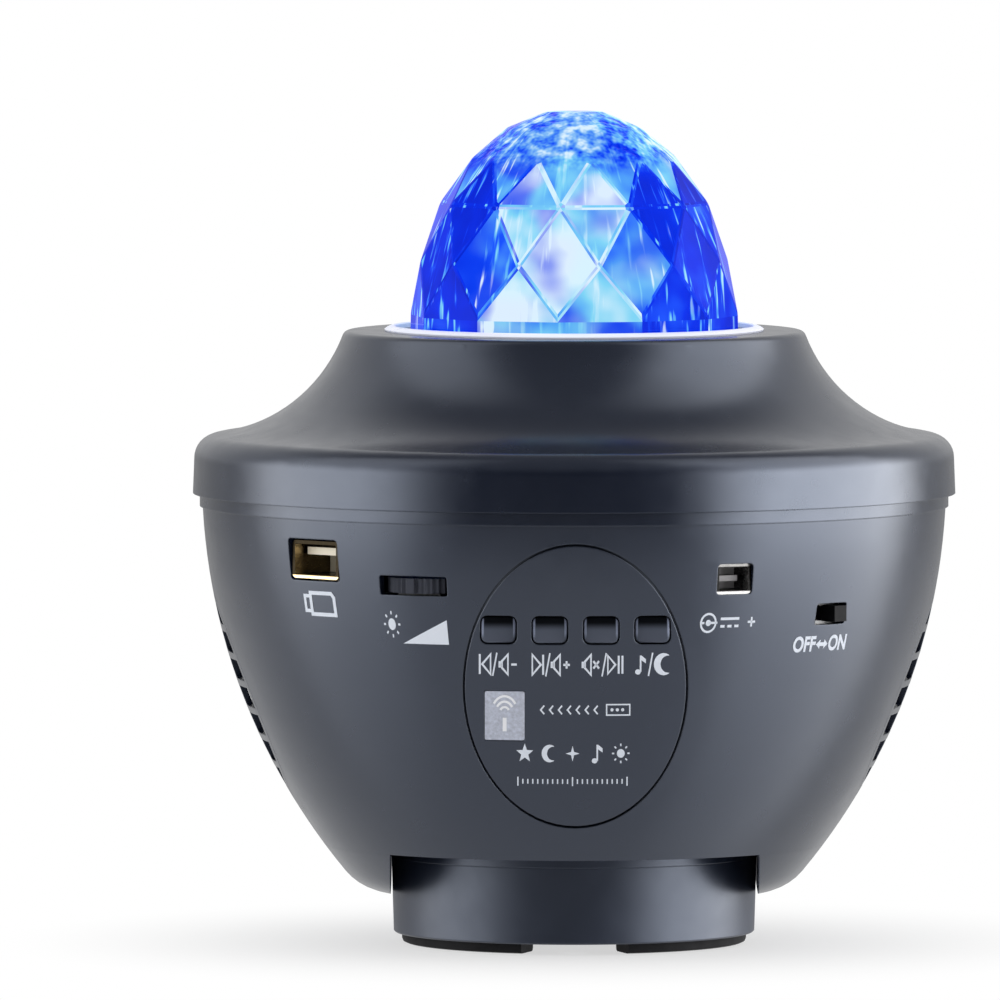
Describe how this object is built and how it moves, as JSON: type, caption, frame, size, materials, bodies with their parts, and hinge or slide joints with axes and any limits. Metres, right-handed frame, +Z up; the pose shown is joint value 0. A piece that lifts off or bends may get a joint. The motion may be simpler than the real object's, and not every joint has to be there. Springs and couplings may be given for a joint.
{
  "type": "star night light projector",
  "caption": "Table-top star and ripple night light projector with a lit faceted dome, speakers, control panel and ports.",
  "frame": {"origin": "centre of the feet on the surface that the projector stands on", "axes": "+Z up through the dome, the control panel faces -Y, +X to its right as seen from the front"},
  "size_m": [0.1656, 0.1656, 0.1804],
  "materials": {
    "shell": "satin moulded ABS, dark slate",
    "base_cover": "fine matt moulded ABS",
    "rubber": "matt black rubber",
    "screw_steel": "zinc plated",
    "dome": "clear faceted plastic, lit blue from inside",
    "lens": "clear rippled plastic",
    "black_plastic": "black moulded plastic",
    "control_plastic": "satin black plastic",
    "gear_plastic": "white acetal",
    "plated_steel": "bright plated",
    "tray_plastic": "pale moulded plastic",
    "sink": "extruded",
    "board": "green laminate",
    "chip": "moulded chip",
    "brass": "turned",
    "grating": "grating film",
    "window": "silver printed plastic",
    "gold": "gold plated",
    "socket_core": "moulded plastic",
    "basket": "black paint",
    "cone": "coated paper"
  },
  "bodies": {
    "housing": {"base_drum": "shell", "bowl": "shell", "bowl_cheeks": "shell", "grille_left": "shell", "grille_right": "shell", "top_cover": "shell", "control_panel": "shell", "base_plate": "base_cover", "rubber_feet": "rubber", "plate_screws": "screw_steel", "base_screws": "screw_steel", "cover_screws": "screw_steel", "retainer_screws": "screw_steel", "motor_screws": "screw_steel", "board_screws": "screw_steel", "port_screws": "screw_steel", "dome": "dome", "dome_retainer": "black_plastic", "tact_switches": "black_plastic", "ir_receiver": "black_plastic", "dc_insulator": "black_plastic", "dimmer_body": "black_plastic", "gear_clip": "plated_steel", "motor": "plated_steel", "switch_body": "plated_steel", "dc_shell": "plated_steel", "speaker_magnet_left": "plated_steel", "speaker_magnet_right": "plated_steel", "light_tray": "tray_plastic", "heat_sink": "sink", "led_board": "board", "main_board": "board", "port_board": "board", "led_chips": "chip", "laser_module": "brass", "laser_lens": "grating", "receiver_window": "window", "usb_shell": "gold", "usb_insulator": "socket_core", "speaker_frame_left": "basket", "speaker_frame_right": "basket"},
    "button_1": {"button_1": "shell"},
    "button_2": {"button_2": "shell"},
    "button_3": {"button_3": "shell"},
    "button_4": {"button_4": "shell"},
    "dimmer": {"dimmer_wheel": "control_plastic"},
    "power_lever": {"switch_lever": "control_plastic"},
    "lens_rotor": {"ring_gear": "gear_plastic", "ripple_lens": "lens"},
    "motor_rotor": {"pinion": "gear_plastic", "motor_shaft": "plated_steel"},
    "cone_left": {"speaker_cone_left": "cone"},
    "cone_right": {"speaker_cone_right": "cone"}
  },
  "joints": [
    {"name": "button_1_press", "type": "slide", "parent": "housing", "child": "button_1", "axis": [0, 1, 0], "range_m": [0, 0.0005], "stiffness_N_per_m": 1500},
    {"name": "button_2_press", "type": "slide", "parent": "housing", "child": "button_2", "axis": [0, 1, 0], "range_m": [0, 0.0005], "stiffness_N_per_m": 1500},
    {"name": "button_3_press", "type": "slide", "parent": "housing", "child": "button_3", "axis": [0, 1, 0], "range_m": [0, 0.0005], "stiffness_N_per_m": 1500},
    {"name": "button_4_press", "type": "slide", "parent": "housing", "child": "button_4", "axis": [0, 1, 0], "range_m": [0, 0.0005], "stiffness_N_per_m": 1500},
    {"name": "dimmer_turn", "type": "hinge", "parent": "housing", "child": "dimmer", "pos_m": [-0.0311, -0.06376, 0.0816], "axis": [0, 0, 1], "range_deg": [-135, 135]},
    {"name": "power_slide", "type": "slide", "parent": "housing", "child": "power_lever", "axis": [0.712, 0.7022, 0], "range_m": [-0.004, 0]},
    {"name": "lens_spin", "type": "hinge", "parent": "housing", "child": "lens_rotor", "pos_m": [0, 0, 0.108], "axis": [0, 0, 1], "continuous": true},
    {"name": "motor_spin", "type": "hinge", "parent": "housing", "child": "motor_rotor", "pos_m": [0, 0.034, 0.108], "axis": [0, 0, 1], "continuous": true},
    {"name": "cone_left_stroke", "type": "slide", "parent": "housing", "child": "cone_left", "axis": [-0.9352, 0, -0.354], "range_m": [-0.0008, 0.0008], "stiffness_N_per_m": 900},
    {"name": "cone_right_stroke", "type": "slide", "parent": "housing", "child": "cone_right", "axis": [0.9352, 0, -0.354], "range_m": [-0.0008, 0.0008], "stiffness_N_per_m": 900}
  ],
  "couplings": [
    {"joint": "motor_spin", "follows": "lens_spin", "ratio": -4.6667}
  ]
}
